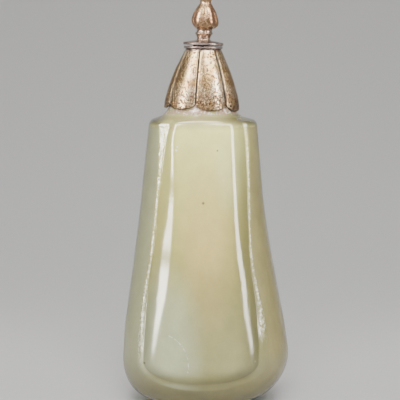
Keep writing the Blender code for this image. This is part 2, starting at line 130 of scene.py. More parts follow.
# The mount: radius of the bell, its petals and its collar
PETALS = 7
FIRST_SLIT = radians(-11.0)
BELL = ((81.5, 10.62), (83.2, 10.55), (84.3, 10.4), (86.5, 9.88), (88.7, 9.22), (91.0, 8.43),
        (93.2, 7.52), (95.4, 6.45), (98.2, 5.1))
PETAL_TIP = 81.75
PETAL_NOTCH = 83.9
PETAL_SLANT = 0.22
PETAL_THICKNESS = 0.75
PETAL_BULGE = 0.045
PETAL_SWELL = 6.0
PETAL_ROUNDNESS = 2.2
PETAL_LIP = 0.04
PETAL_LIP_INSET = 0.28
PETAL_LIP_WIDTH = 0.16
SLIT_WIDTH = 0.5
SLIT_DEPTH = 0.4
COLLAR_RADIUS = 5.42
COLLAR_TOP = 99.3
COLLAR_FOOT = 98.7
COLLAR_WAIST = (98.45, 4.95)
COLLAR_UNDERSIDE = 95.95

# The stopper: (height, radius) from the knop down, then its disc and plug
KNOP = ((115.39, 0.0), (115.3, 0.55), (114.95, 1.2), (114.3, 1.85), (113.3, 2.15), (112.6, 1.98),
        (112.1, 1.7), (111.6, 1.5))
BUD = ((111.0, 1.75), (110.0, 2.44), (108.8, 3.08), (107.7, 3.5), (106.9, 3.73), (106.1, 3.78),
       (105.5, 3.68), (104.85, 3.34), (104.3, 2.75))
BALUSTER = ((103.8, 2.16), (103.25, 2.2), (102.85, 2.5), (102.35, 2.15), (101.6, 1.85),
            (101.15, 1.9))
STEM_BEND = ((100.3, 0.0), (102.8, 0.12), (103.9, 0.31), (105.0, 0.5), (106.0, 0.37),
             (107.0, 0.31), (110.0, 0.37), (115.4, 0.5))
DISC_RADIUS = 5.62
DISC_TOP = 100.3
DISC_FOOT = 99.6
DISC_TILT = 0.015
DISC_SLOPE = ((0.6, 2.3), (0.42, 3.5), (0.16, 4.8))
PLUG_RADIUS = 2.85
PLUG_FOOT = 96.9
LOBES = 6
FIRST_LOBE = radians(26.0)
LOBE_DEPTH = ((104.3, 0.0), (105.4, 0.09), (106.6, 0.13), (108.8, 0.11), (111.0, 0.0))

# Fineness of the meshes; the stone's columns run from the panel's middle to the flank
PANEL_COLUMNS = 28
CORNER_COLUMNS = 4
CHAMFER_COLUMNS = 8
WALL_COLUMNS = 28
COLUMNS = PANEL_COLUMNS + CHAMFER_COLUMNS + WALL_COLUMNS + 2 * CORNER_COLUMNS
LEVEL_ROWS = 130
FAN_ROWS = 54
EDGE_ROWS = 8
SLOPE_ROWS = 15
NECK_ROWS = 12
PETAL_COLUMNS = 48
PETAL_ROWS = 64
PETAL_INNER_ROWS = 10
STOPPER_STEPS = 144
CHAMBER_STEPS = 96
SMOOTH_ANGLE = radians(50.0)


# ---------------------------------------------------------------- shaping by number

def along(stations, at):
    """Value of the smooth curve through (place, value) stations, which rise in place."""
    places = [place for place, _ in stations]
    values = [value for _, value in stations]
    last = len(stations) - 1
    if at <= places[0]:
        return values[0]
    if at >= places[last]:
        return values[last]

    def slope(index):
        before = max(index - 1, 0)
        after = min(index + 1, last)
        return (values[after] - values[before]) / (places[after] - places[before])

    start = bisect_right(places, at) - 1
    span = places[start + 1] - places[start]
    t = (at - places[start]) / span
    first_slope = 0.0 if start == 0 else slope(start)
    return ((2 * t ** 3 - 3 * t ** 2 + 1) * values[start]
            + (t ** 3 - 2 * t ** 2 + t) * span * first_slope
            + (3 * t ** 2 - 2 * t ** 3) * values[start + 1]
            + (t ** 3 - t ** 2) * span * slope(start + 1))


def mix(first, second, share):
    """Value part of the way from first to second."""
    return first * (1 - share) + second * share


def smooth(low, high, at):
    """0 below low, 1 above high and an easy curve between."""
    share = min(max((at - low) / (high - low), 0.0), 1.0)
    return share * share * (3 - 2 * share)


def corner(before, point, after, share):
    """Point part of the way round a corner, on a curve from before to after."""
    return mix(mix(before, point, share), mix(point, after, share), share)


def rounded(outline, radius, steps=3):
    """Outline with its inner corners rounded by at most radius."""
    longest = 0.45
    points = [outline[0]]
    for before, point, after in zip(outline, outline[1:], outline[2:]):
        start = mix(point, before, min(radius / (before - point).length, longest))
        end = mix(point, after, min(radius / (after - point).length, longest))
        points += [corner(start, point, end, step / steps) for step in range(steps + 1)]
    return points + [outline[-1]]


def flowing(points, steps):
    """Smooth curve through points, with steps pieces between each two."""
    ends = [points[0] * 2 - points[1]] + list(points) + [points[-1] * 2 - points[-2]]
    curve = []
    for before, here, there, after in zip(ends, ends[1:], ends[2:], ends[3:]):
        for step in range(steps):
            t = step / steps
            curve.append(0.5 * (2 * here + (there - before) * t
                                + (2 * before - 5 * here + 4 * there - after) * t ** 2
                                + (3 * here - before - 3 * there + after) * t ** 3))
    return curve + [points[-1]]


# ---------------------------------------------------------------- modelling tools

def clear_selection():
    """Leave nothing selected, the solids of the frame included."""
    bpy.ops.object.select_all(action='DESELECT')


def pick(*pieces):
    """Select these pieces and make the first one active."""
    clear_selection()
    for piece in pieces:
        piece.select_set(True)
    bpy.context.view_layer.objects.active = pieces[0]


def sheet(name, columns, rows):
    """Flat grid with its corners at (0, 0) and (1, 1), to be bent onto a form."""
    clear_selection()
    bpy.ops.mesh.primitive_grid_add(x_subdivisions=columns, y_subdivisions=rows, size=1.0,
                                    location=(0.5, 0.5, 0.0))
    bpy.ops.object.transform_apply(location=True)
    piece = bpy.context.object
    piece.name = name
    return piece


def bend_sheet(piece, lines):
    """Lay a sheet over lines of points: lines run across, one after the other."""
    rows = len(lines) - 1
    columns = len(lines[0]) - 1
    for vertex in piece.data.vertices:
        line = lines[round(vertex.co.y * rows)]
        vertex.co = line[round(vertex.co.x * columns)] * MM


def mend(piece, closer_than=0.02):
    """Merge doubled points and turn all faces outwards."""
    pick(piece)
    bpy.ops.object.mode_set(mode='EDIT')
    bpy.ops.mesh.select_all(action='SELECT')
    bpy.ops.mesh.remove_doubles(threshold=closer_than * MM)
    bpy.ops.mesh.dissolve_degenerate(threshold=0.001 * MM)
    bpy.ops.mesh.normals_make_consistent(inside=False)
    bpy.ops.object.mode_set(mode='OBJECT')


def turned(name, outline, steps):
    """Draw an outline of (distance from the axis, height) and spin it round the axis."""
    clear_selection()
    points = [Vector((reach, 0.0, height)) * MM for reach, height in outline]
    bpy.ops.mesh.primitive_plane_add(size=MM, location=points[0])
    piece = bpy.context.object
    piece.name = name
    bpy.ops.object.transform_apply(location=True)
    bpy.ops.object.mode_set(mode='EDIT')
    bpy.ops.mesh.select_mode(type='VERT')
    bpy.ops.mesh.select_all(action='SELECT')
    bpy.ops.mesh.merge(type='CENTER')
    for here, there in zip(points, points[1:]):
        bpy.ops.mesh.extrude_vertices_move(TRANSFORM_OT_translate={"value": there - here})
    bpy.ops.mesh.select_all(action='SELECT')
    bpy.ops.mesh.spin(steps=steps, angle=2 * pi, center=(0, 0, 0), axis=(0, 0, 1))
    bpy.ops.object.mode_set(mode='OBJECT')
    mend(piece, closer_than=0.005)
    return piece


def join(first, *others):
    """Join pieces into the first one."""
    pick(first, *others)
    bpy.ops.object.join()
    return first


# ---------------------------------------------------------------- jade body

def height_at(drop):
    """Height of a place by its drop, the way down from the belly round the foot."""
    return BELLY - drop if drop < 0 else BELLY * (1 - sin(drop / BELLY))


def drop_at(height):
    """Drop of a place by its height."""
    return BELLY - height if height >= BELLY else BELLY * asin(1 - height / BELLY)


def half_width(drop, side):
    """Distance of the flank from the bottle's middle."""
    if drop < 0:
        width = along(FLANK, height_at(drop))
    else:
        width = mix(FOOT_HALF_WIDTH, FLANK[0][1], cos(drop / BELLY))
    return width + side * along(SWAY, height_at(drop))


def half_depth(drop):
    """Distance of the plain front or back from the middle."""
    share = smooth(BELLY, SHOULDER[-1][1], height_at(drop))
    ratio = mix(BELLY_DEPTH, SHOULDER_DEPTH, share)
    return ratio * 0.5 * (half_width(drop, -1) + half_width(drop, 1))


def oval_depth(x, drop):
    """How far forward the plain oval lies at x."""
    side = 1 if x > 0 else -1
    share = min(abs(x) / half_width(drop, side), 1.0)
    return half_depth(drop) * (1 - share ** SQUARENESS) ** (1 / SQUARENESS)


def wall_point(turn, drop, side):
    """Point of the plain wall; turn is 0 in front and a right angle at the flank."""
    x = side * half_width(drop, side) * abs(sin(turn)) ** (2 / SQUARENESS)
    depth = half_depth(drop) * abs(cos(turn)) ** (2 / SQUARENESS)
    return Vector((x, -depth, height_at(drop)))


def turn_of(x, drop, side):
    """Turn at which the plain wall has this x."""
    return asin(min(abs(x) / half_width(drop, side), 1.0) ** (SQUARENESS / 2))


def groove_depth(x, ridge_x, height, side):
    """How far forward the groove lies, for a chamfer that faces as CHAMFER_FACING says."""
    ridge = oval_depth(ridge_x, drop_at(height))
    facing = along(CHAMFER_FACING[side], height) - side * along(TWIST, height)
    return ridge + tan(radians(facing)) * abs(ridge_x - x)


def panel_fall(share, shoulder, softness):
    """How far the panel has fallen, 0 to 1, between its middle and the groove."""
    def turned_down(at):
        return softness * log(1 + exp((at - shoulder) / softness))

    bent = (turned_down(share) - turned_down(0.0)) / (turned_down(1.0) - turned_down(0.0))
    return mix(bent, share * share, PANEL_CROWN)


def carved(middle, groove, fall, ridge_x, ridge_height, rim_turn, rim_drop, side):
    """Function that gives point k of a line over panel, groove, chamfer, ridge and wall.

    fall is the pair of shoulder and softness of the panel there. The groove and the ridge
    are rounded corners, and the chamfer is slightly crowned.
    """
    def on_panel(share):
        point = mix(middle, groove, share)
        point.y = mix(middle.y, groove.y, panel_fall(share, *fall))
        return point

    ridge_drop = drop_at(ridge_height)
    ridge_turn = turn_of(ridge_x, ridge_drop, side)

    def on_wall(share):
        return wall_point(mix(ridge_turn, rim_turn, share), mix(ridge_drop, rim_drop, share),
                          side)

    ridge = on_wall(0.0)
    width = (ridge - groove).length
    widest_round = 0.3
    last_share = 1 - GROOVE_ROUND / (groove - middle).length
    chamfer_start = mix(groove, ridge, min(GROOVE_ROUND / width, widest_round))
    chamfer_end = mix(ridge, groove, min(RIDGE_ROUND / width, widest_round))
    near = 0.2
    wall_start = RIDGE_ROUND / max((on_wall(near) - ridge).length / near, 1.0)
    run = (ridge - groove).normalized()
    crown = along(CHAMFER_CROWN[side], ridge_height) * width * abs(run.x)
    outward = side * Vector((run.y, -run.x, 0.0))

    def place(k):
        if k <= PANEL_COLUMNS:
            return on_panel(last_share * k / PANEL_COLUMNS)
        k -= PANEL_COLUMNS
        if k < CORNER_COLUMNS:
            return corner(on_panel(last_share), groove, chamfer_start, k / CORNER_COLUMNS)
        k -= CORNER_COLUMNS
        if k <= CHAMFER_COLUMNS:
            share = k / CHAMFER_COLUMNS
            return (mix(chamfer_start, chamfer_end, share)
                    + outward * crown * sin(pi * share))
        k -= CHAMFER_COLUMNS
        if k < CORNER_COLUMNS:
            return corner(chamfer_end, ridge, on_wall(wall_start), k / CORNER_COLUMNS)
        k -= CORNER_COLUMNS
        return on_wall(mix(wall_start, 1.0, k / WALL_COLUMNS))

    return place


def level(height, side):
    """Level line above the belly."""
    groove_x = side * along(PANEL_SIDE[side], height)
    ridge_x = groove_x + side * along(CHAMFER[side], height)
    drop = drop_at(height)
    middle = Vector((0.0, -half_depth(drop) - PANEL_RISE, height))
    groove = Vector((groove_x, -groove_depth(groove_x, ridge_x, height, side), height))
    fall = (along(PANEL_SHOULDER[side], height), along(PANEL_SOFTNESS[side], height))
    return carved(middle, groove, fall, ridge_x, height, pi / 2, drop, side)


def fanned(angle, side):
    """Line that fans out round the foot of the panel: 0 is level, a right angle is down."""
    groove_width = PANEL_SIDE[side][0][1]
    groove_drop = BELLY - PANEL_FOOT
    ridge_width = groove_width + CHAMFER[side][0][1]
    ridge_drop = groove_drop + CHAMFER_UNDER
    middle = Vector((0.0, -half_depth(0.0) - PANEL_RISE, BELLY))
    groove_x = side * groove_width * cos(angle)
    height = BELLY - groove_drop * sin(angle)
    beside = groove_depth(groove_x, side * ridge_width * cos(angle), height, side)
    under = oval_depth(groove_x, drop_at(height)) - GROOVE_UNDER
    below = sin(angle) ** 2
    groove = Vector((groove_x, -mix(beside, under, below), height))
    fall = (mix(PANEL_SHOULDER[side][0][1], PANEL_SHOULDER_UNDER, below),
            mix(PANEL_SOFTNESS[side][0][1], PANEL_SOFTNESS_UNDER, below))
    corner_angle = radians(58.0)
    if angle <= corner_angle:
        rim_turn = pi / 2
        rim_drop = LAST_DROP * angle / corner_angle
    else:
        rim_turn = pi / 2 * (pi / 2 - angle) / (pi / 2 - corner_angle)
        rim_drop = LAST_DROP
    return carved(middle, groove, fall, ridge_width * cos(angle),
                  BELLY - ridge_drop * sin(angle), rim_turn, rim_drop, side)


def shoulder_edge(side):
    """Points where the walls meet the shoulder, from the panel's middle to the flank.

    Each round brings them closer to the height that the shoulder has at their reach.
    """
    place = level(SHOULDER[-1][1], side)
    points = [place(k) for k in range(COLUMNS + 1)]
    for _ in range(3):
        heights = [along(SHOULDER, hypot(point.x, point.y)) for point in points]
        points = [level(height, side)(k) for k, height in enumerate(heights)]
    return points


def twisted(point, flip):
    """Point turned by the stone's twist; flip is 1 in front and -1 behind."""
    turned_round = Vector((point.x, flip * point.y, point.z))
    return Matrix.Rotation(radians(along(TWIST, point.z)), 3, 'Z') @ turned_round


def leaning(point):
    """Point leaned aside with the neck."""
    return Matrix.Rotation(LEAN, 3, 'Y') @ (Vector(point) - LEAN_PIVOT) + LEAN_PIVOT


def neck_point(radius, height, angle):
    """Point of the leaning neck; the angle is 0 on the right and a right angle behind."""
    return leaning((radius * cos(angle) + LEAN_PIVOT.x, radius * sin(angle), height))


def shoulder_column(wall, edge):
    """Points over the rounded edge, up the shoulder and along the neck to its lip."""
    angle = atan2(edge.y, edge.x - LEAN_PIVOT.x)
    neck_reach, neck_foot = SHOULDER[0]
    edge_reach = hypot(edge.x, edge.y)
    foot = neck_point(neck_reach, neck_foot, angle)
    reach = hypot(edge.x - foot.x, edge.y - foot.y)

    def slope_point(share):
        point = mix(foot, edge, share)
        point.z = along(SHOULDER, mix(neck_reach, edge_reach, share))
        point.z += (foot.z - neck_foot) * (1 - share)
        return point

    start = 1 - EDGE_ROUND / reach
    points = [corner(wall, edge, slope_point(start), step / EDGE_ROWS)
              for step in range(EDGE_ROWS)]
    points += [slope_point(start * (1 - step / SLOPE_ROWS)) for step in range(SLOPE_ROWS)]
    for step in range(NECK_ROWS + 1):
        height = mix(SHOULDER[0][1], NECK[-1][0], step / NECK_ROWS)
        points.append(neck_point(along(NECK_CURVE, height), height, angle))
    return points


def mark(piece, name, values):
    """Keep a number for each point of a piece, for its material."""
    layer = piece.data.attributes.new(name, 'FLOAT', 'POINT')
    layer.data.foreach_set("value", values)


def tool_marks(k, row):
    """How rough the grinder left a place: 1 in the middle of the chamfer, 0 on the polish."""
    place = (k - PANEL_COLUMNS - CORNER_COLUMNS / 2) / (CHAMFER_COLUMNS + CORNER_COLUMNS)
    beside = 1 - smooth(LEVEL_ROWS, LEVEL_ROWS + FAN_ROWS * 0.4, row)
    return beside * sin(pi * place) if 0 < place < 1 else 0.0


def wall_share(k):
    """0 on the panel, 1 on the plain wall beyond the chamfer."""
    return smooth(PANEL_COLUMNS + CORNER_COLUMNS, PANEL_COLUMNS + 2 * CORNER_COLUMNS
                  + CHAMFER_COLUMNS + 2, k)


def flank_shade_share(k):
    """Painted shade on the panel's flank: 0 on its face, 1 at the groove, 0 from the chamfer on.
    """
    if k > PANEL_COLUMNS + CORNER_COLUMNS:
        return 0.0
    return smooth(0.62 * PANEL_COLUMNS, 0.98 * PANEL_COLUMNS, k)


def groove_dirt_and_shade(k, row):
    """Dirt and painted shade in the groove: a trace beside the panel, more and wider round its
    foot.
    """
    under = smooth(LEVEL_ROWS, LEVEL_ROWS + FAN_ROWS * 0.5, row)
    middle = PANEL_COLUMNS + mix(CORNER_COLUMNS / 2, CORNER_COLUMNS, under)
    return exp(-((k - middle) / mix(1.6, 5.0, under)) ** 2) * mix(0.3, 1.0, under)


def jade_quarter(side, edge, flip):
    """One quarter of the outside: a sheet for the walls and one for shoulder and neck.

    flip is 1 for the front and -1 for the back. Rows crowd a little towards the shoulder.
    """
    lines = []
    crowding = 1.1
    for row in range(LEVEL_ROWS + 1):
        share = (row / LEVEL_ROWS) ** crowding
        lines.append([level(mix(top.z - EDGE_ROUND, BELLY, share), side)(k)
                      for k, top in enumerate(edge)])
    for step in range(1, FAN_ROWS + 1):
        place = fanned(pi / 2 * step / FAN_ROWS, side)
        lines.append([place(k) for k in range(COLUMNS + 1)])
    walls = sheet("walls", COLUMNS, len(lines) - 1)
    places = [(round(vertex.co.x * COLUMNS), round(vertex.co.y * (len(lines) - 1)))
              for vertex in walls.data.vertices]
    bend_sheet(walls, [[twisted(point, flip) for point in line] for line in lines])
    mark(walls, "tooled", [tool_marks(k, row) for k, row in places])
    mark(walls, "wall", [wall_share(k) for k, _ in places])
    # where the panel's flanks take painted shade
    mark(walls, "flank", [flank_shade_share(k) for k, _ in places])
    # dirt and painted shade in the grooves
    mark(walls, "dirt", [groove_dirt_and_shade(k, row) for k, row in places])
    columns = [shoulder_column(twisted(wall, flip), twisted(top, flip))
               for wall, top in zip(lines[0], edge)]
    shoulder = sheet("shoulder", len(columns[0]) - 1, COLUMNS)
    bend_sheet(shoulder, columns)
    return join(walls, shoulder)


def chamber():
    """Inner wall: the bore, a dome under the shoulder, sloping sides and a rounded floor."""
    top_radius = along(FLANK, CHAMBER_SIDE_TOP) - WALL
    foot_radius = along(FLANK, CHAMBER_SIDE_FOOT) - WALL
    meeting = asin(BORE_RADIUS / top_radius)
    bore_steps = 8
    arc_steps = 16
    side_steps = 24
    outline = [(BORE_RADIUS, mix(NECK[-1][0], CHAMBER_TOP, step / bore_steps))
               for step in range(bore_steps)]
    for step in range(arc_steps + 1):
        angle = mix(meeting, pi / 2, step / arc_steps)
        outline.append((top_radius * sin(angle),
                        mix(CHAMBER_SIDE_TOP, CHAMBER_TOP, cos(angle))))
    for step in range(1, side_steps):
        height = mix(CHAMBER_SIDE_TOP, CHAMBER_SIDE_FOOT, step / side_steps)
        outline.append((along(FLANK, height) - WALL, height))
    for step in range(arc_steps + 1):
        angle = pi / 2 * step / arc_steps
        outline.append((foot_radius * cos(angle), mix(CHAMBER_SIDE_FOOT, FLOOR, sin(angle))))
    piece = turned("chamber", outline, CHAMBER_STEPS)
    for vertex in piece.data.vertices:
        inside = smooth(CHAMBER_TOP, CHAMBER_TOP - CHAMBER_DOME, vertex.co.z / MM)
        vertex.co.y *= mix(1.0, BELLY_DEPTH, inside)
        vertex.co.x += CHAMBER_SHIFT * MM * inside
    return piece


def hand_worked(piece):
    """Slight waves of hand work and a few small chips, all cut into the surface."""
    cuts = []
    for vertex in piece.data.vertices:
        place = vertex.co / MM
        wave = 1.1 + noise.noise(place / WAVE_LENGTH)
        cut = WAVE_DEPTH * wave * smooth(*WAVE_FADE, place.z)
        for x, height, size, depth in CHIPS:
            far = hypot(place.x - x, place.z - height) / size
            if place.y < 0 and far < 3:
                cut += depth * exp(-far * far) * (1 + noise.noise(place * 3))
        cuts.append(vertex.normal * cut * MM)
    for vertex, cut in zip(piece.data.vertices, cuts):
        vertex.co -= cut


def close_foot(piece):
    """Fill the flat foot, with rings that keep its faces small."""
    on_table = 0.02 * MM
    pick(piece)
    bpy.ops.object.mode_set(mode='EDIT')
    bpy.ops.mesh.select_mode(type='EDGE')
    bpy.ops.mesh.select_all(action='DESELECT')
    bpy.ops.object.mode_set(mode='OBJECT')
    for edge in piece.data.edges:
        edge.select = max(piece.data.vertices[k].co.z for k in edge.vertices) < on_table
    bpy.ops.object.mode_set(mode='EDIT')
    bpy.ops.mesh.edge_face_add()
    for share in (0.97, 0.85, 0.6, 0.3):
        bpy.ops.mesh.extrude_region_move()
        bpy.ops.transform.resize(value=(share, share, 1.0), center_override=(0, 0, 0))
    bpy.ops.object.mode_set(mode='OBJECT')


def close_lip(piece):
    """Fill the ring between the outside and the bore, at the top of the neck."""
    pick(piece)
    bpy.ops.object.mode_set(mode='EDIT')
    bpy.ops.mesh.select_all(action='DESELECT')
    bpy.ops.mesh.select_non_manifold()
    bpy.ops.mesh.fill()
    bpy.ops.object.mode_set(mode='OBJECT')


def jade_body():
    """The stone: four quarters outside, the chamber inside, and a lip between them."""
    quarters = []
    for side in (-1, 1):
        edge = shoulder_edge(side)
        for flip in (1, -1):
            quarters.append(jade_quarter(side, edge, flip))
    piece = join(*quarters)
    piece.name = "jade_carving"
    mend(piece)
    close_foot(piece)
    hand_worked(piece)
    join(piece, chamber())
    close_lip(piece)
    mend(piece)
    return piece


# ---------------------------------------------------------------- petal mount

def petal_outline(angle, across, half_angle):
    """Closed outline of the mount at one angle: inside up, over the collar, down the petals.

    Each point comes with its grime and painted shade, 0 to 1: slits, petal tips and inside.
    """
    edge_share = (1 - min(abs(across), 1.0) ** PETAL_ROUNDNESS) ** (1 / PETAL_ROUNDNESS)
    foot = mix(PETAL_NOTCH, PETAL_TIP, edge_share) - PETAL_SLANT * sin(angle)
    top = BELL[-1][0]
    fall = PETAL_BULGE * abs(across) ** 2.4
    slit_foot = SLIT_WIDTH * 0.2
    slit_edge = SLIT_WIDTH * 0.7
    # painted shade beside the slits reaches further on petals seen side-on
    dark_reach = SLIT_WIDTH * mix(0.7, 1.15, smooth(0.3, 0.6, abs(sin(angle))))
    inside = [Vector((along(BELL, height) - PETAL_THICKNESS, height))
              for height in (mix(foot, COLLAR_UNDERSIDE, row / PETAL_INNER_ROWS)
                             for row in range(PETAL_INNER_ROWS + 1))]
    collar = rounded([Vector(point) for point in (
        (BORE_RADIUS, COLLAR_UNDERSIDE), (BORE_RADIUS, COLLAR_TOP),
        (COLLAR_RADIUS, COLLAR_TOP), (COLLAR_RADIUS, COLLAR_FOOT),
        (COLLAR_WAIST[1], COLLAR_WAIST[0]), (along(BELL, top), top))], 0.2)
    outside = []
    dirt = []
    for row in range(PETAL_ROWS + 1):
        height = mix(top, foot, (row / PETAL_ROWS) ** 0.85)
        swell = min((top - height) / PETAL_SWELL, 1.0)
        radius = along(BELL, height)
        aside = (1 - abs(across)) * half_angle * radius
        above = height - foot
        slit = SLIT_DEPTH * (1 - smooth(slit_foot, slit_edge, aside)) * min(1.0, 0.35 + swell)
        to_edge = min(aside - slit_edge, above)
        lip = PETAL_LIP * exp(-((to_edge - PETAL_LIP_INSET) / PETAL_LIP_WIDTH) ** 2)
        turn_in = PETAL_LIP * 3 * (1 - smooth(0.0, 0.3, above))
        outside.append(Vector((radius * (1 - fall * swell) - slit + lip - turn_in, height)))
        # grime and painted shade in the slits, painted shadow under the petal tips
        slit_dark = 1 - smooth(slit_foot, dark_reach, aside)
        dirt.append(max(slit_dark, 0.85 * (1 - smooth(0.04, 0.26, above))))
    outline = inside + collar[1:] + outside
    # grime and painted shade all over the inside of the mount
    dirt = [1.0] * len(inside) + [0.0] * (len(collar) - 1) + dirt
    return outline + [outline[0]], dirt + [1.0]


def petal_mount():
    """The mount: one closed sheet round the neck, with crowded columns at the slits."""
    half = pi / PETALS
    lines = []
    grime = []
    for column in range(PETALS * PETAL_COLUMNS + 1):
        place = 2 * column / PETAL_COLUMNS - 1
        petal = min(int((place + 1) / 2), PETALS - 1)
        across = place - 2 * petal
        spread = sin(across * pi / 2) * 0.35 + across * 0.65
        angle = FIRST_SLIT + half * (2 * petal + 1 + spread)
        direction = angle - pi / 2
        outline, dirt = petal_outline(angle, spread, half)
        lines.append([leaning((point.x * cos(direction) + LEAN_PIVOT.x,
                               point.x * sin(direction), point.y)) for point in outline])
        grime += dirt
    piece = sheet("petal_casting", len(lines[0]) - 1, len(lines) - 1)
    bend_sheet(piece, lines)
    mark(piece, "grime", grime)
    mend(piece)
    return piece


# ---------------------------------------------------------------- stopper

def stopper():
    """The stopper: turned, then lobed, bent and leaned."""
    stations = [Vector((radius, height)) for height, radius in KNOP + BUD + BALUSTER]
    slope = [Vector((radius, DISC_TOP + rise)) for rise, radius in DISC_SLOPE]
    rim = rounded([Vector(point) for point in (
        slope[-1], (DISC_RADIUS, DISC_TOP), (DISC_RADIUS, DISC_FOOT),
        (PLUG_RADIUS, DISC_FOOT), (PLUG_RADIUS, PLUG_FOOT), (0.0, PLUG_FOOT))], 0.2)
    outline = flowing(stations + slope, 4) + rim[1:]
    outline = [(max(point.x, 0.0), point.y) for point in outline]
    piece = turned("stopper_casting", outline, STOPPER_STEPS)
    for vertex in piece.data.vertices:
        x, y, height = vertex.co / MM
        turn = atan2(x, -y)
        lobe = abs(sin(LOBES / 2 * (turn - FIRST_LOBE))) ** 3
        share = 1 - along(LOBE_DEPTH, height) * lobe
        fall = DISC_TILT * x if height >= DISC_FOOT - 0.001 else 0.0
        shifted = Vector((x * share + LEAN_PIVOT.x + along(STEM_BEND, height), y * share,
                          height - fall))
        vertex.co = leaning(shifted) * MM
    mend(piece, closer_than=0.005)
    return piece


# ---------------------------------------------------------------- materials

class Part:
    """A socket that can be used in sums."""

    def __init__(self, paint, socket):
        self.paint = paint
        self.socket = socket

    def maths(self, operation, *values):
        return self.paint.node('ShaderNodeMath', {"operation": operation}, *values)

    def __add__(self, other):
        return self.maths('ADD', self, other)

    def __radd__(self, other):
        return self.maths('ADD', other, self)

    def __sub__(self, other):
        return self.maths('SUBTRACT', self, other)

    def __rsub__(self, other):
        return self.maths('SUBTRACT', other, self)

    def __mul__(self, other):
        return self.maths('MULTIPLY', self, other)

    def __rmul__(self, other):
        return self.maths('MULTIPLY', other, self)

    def __truediv__(self, other):
        return self.maths('DIVIDE', self, other)

    def __pow__(self, other):
        return self.maths('POWER', self, other)

    def size(self):
        return self.maths('ABSOLUTE', self)

    def most(self, other):
        return self.maths('MAXIMUM', self, other)


def set_stops(ramp, stops):
    """Give a colour ramp its stops, as (place, colour)."""
    while len(ramp.elements) < len(stops):
        ramp.elements.new(0.5)
    for element, (place, colour) in zip(ramp.elements, stops):
        element.position = place
        element.color = (*colour, 1.0)


class Paint:
    """A material and the nodes that feed its shader."""

    def __init__(self, name):
        self.material = bpy.data.materials.new(name)
        self.material.use_nodes = True
        self.nodes = self.material.node_tree.nodes
        self.links = self.material.node_tree.links
        self.shader = self.nodes["Principled BSDF"]
        self.place = self.node('ShaderNodeTexCoord', {}, output="Object")

    def node(self, kind, settings, *values, output=0, **named):
        """Add a node; values fill its sockets in order and named ones by name."""
        made = self.nodes.new(kind)
        for name, value in settings.items():
            if name == "stops":
                set_stops(made.color_ramp, value)
            else:
                setattr(made, name, value)
        for key, value in [*enumerate(values), *named.items()]:
            socket = made.inputs[key]
            if isinstance(value, Part):
                self.links.new(value.socket, socket)
            else:
                socket.default_value = value
        return Part(self, made.outputs[output])

    def noise(self, size, detail=3.0, roughness=0.5, stretch=(1.0, 1.0, 1.0), shift=0.0):
        """Noise with clouds about size millimetres across."""
        scaled = self.node('ShaderNodeVectorMath', {"operation": 'MULTIPLY_ADD'}, self.place,
                           tuple(k / (size * MM) for k in stretch), (shift, shift, shift))
        return self.node('ShaderNodeTexNoise', {}, Vector=scaled, Scale=1.0, Detail=detail,
                         Roughness=roughness)

    def between(self, value, low, high):
        """0 where value is below low, 1 above high, smooth between."""
        return self.node('ShaderNodeMapRange', {"interpolation_type": 'SMOOTHSTEP'}, value,
                         low, high, 0.0, 1.0)

    def band(self, value, first, second):
        """1 inside a band, whose two edges are (outer, inner) pairs, and 0 outside it."""
        return self.between(value, *first) * self.between(value, *second)

    def blend(self, first, second, share):
        """Colour part of the way from first to second."""
        made = self.nodes.new('ShaderNodeMix')
        made.data_type = 'RGBA'
        for index, value in ((0, share), (6, first), (7, second)):
            if isinstance(value, Part):
                self.links.new(value.socket, made.inputs[index])
            elif index == 0:
                made.inputs[index].default_value = value
            else:
                made.inputs[index].default_value = (*value, 1.0)
        return Part(self, made.outputs[2])

    def coated(self, colour, *coats):
        """Colour under coats of (colour, share), laid one over the other."""
        for coat, share in coats:
            colour = self.blend(colour, coat, share)
        return colour

    def attribute(self, name):
        return self.node('ShaderNodeAttribute', {"attribute_name": name}, output="Fac")

    def ramp(self, value, low, high, stops):
        """Colours that follow a value from low to high."""
        share = self.node('ShaderNodeMapRange', {}, value, low, high, 0.0, 1.0)
        return self.node('ShaderNodeValToRGB', {"stops": stops}, share)

    def tint(self, colour, factor):
        """Colour made lighter or darker by a factor."""
        return self.node('ShaderNodeVectorMath', {"operation": 'SCALE'}, colour, Scale=factor)

    def axis(self, letter):
        """Object coordinate along one axis, in millimetres."""
        split = self.node('ShaderNodeSeparateXYZ', {}, self.place, output=letter)
        return split * (1 / MM)

    def cloud(self, x, z, width, height):
        """Soft patch round a place on the front and back: 1 in its middle, 0 outside."""
        across = (self.axis("X") - x) / width
        up = (self.axis("Z") - z) / height
        far = across * across + up * up
        return self.node('ShaderNodeMapRange', {"interpolation_type": 'SMOOTHSTEP'}, far,
                         0.0, 1.0, 1.0, 0.0)

    def feed(self, name, value):
        socket = self.shader.inputs[name]
        if isinstance(value, Part):
            self.links.new(value.socket, socket)
        elif isinstance(value, tuple) and len(value) == 3 and name.endswith("Color"):
            socket.default_value = (*value, 1.0)
        else:
            socket.default_value = value

    def bump(self, height, strength, depth):
        """Feed the shader's normal from a height, with depth in millimetres."""
        made = self.node('ShaderNodeBump', {}, Strength=strength, Distance=depth * MM,
                         Height=height, output="Normal")
        self.feed("Normal", made)


